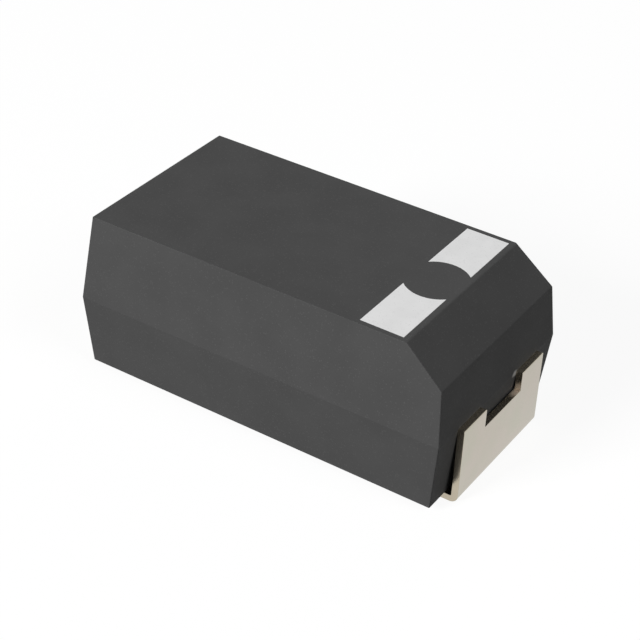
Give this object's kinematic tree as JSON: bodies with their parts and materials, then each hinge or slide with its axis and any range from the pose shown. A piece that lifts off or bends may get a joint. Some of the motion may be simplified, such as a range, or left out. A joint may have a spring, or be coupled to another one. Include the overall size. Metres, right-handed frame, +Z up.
{
  "type": "tantalum capacitor",
  "caption": "Moulded surface-mount chip capacitor with a drafted case, anode bevel, split polarity stripe and folded lead frame feet.",
  "frame": {"origin": "on the board, under the middle of the part", "axes": "+X along the case towards the anode end with the bevel, +Y across the case, +Z up from the board"},
  "size_m": [0.006, 0.0032, 0.0025],
  "materials": {
    "epoxy_moulding": "fine moulded satin",
    "stripe_ink": "matt marking ink",
    "tin_plated_strip": "satin tin plating",
    "tantalum_wire": "drawn wire",
    "washer_resin": "waxy",
    "sintered_tantalum": "sintered, porous",
    "manganese_dioxide": "fine black crystals",
    "graphite": "dull graphite",
    "silver_paint": "matt silver paint",
    "silver_epoxy": "dull silver paste"
  },
  "bodies": {
    "root": {"moulded_case": "epoxy_moulding", "polarity_stripe": "stripe_ink", "anode_terminal": "tin_plated_strip", "cathode_terminal": "tin_plated_strip", "anode_wire": "tantalum_wire", "insulating_washer": "washer_resin", "tantalum_pellet": "sintered_tantalum", "manganese_dioxide_coat": "manganese_dioxide", "carbon_coat": "graphite", "silver_coat": "silver_paint", "silver_adhesive": "silver_epoxy"}
  },
  "joints": []
}
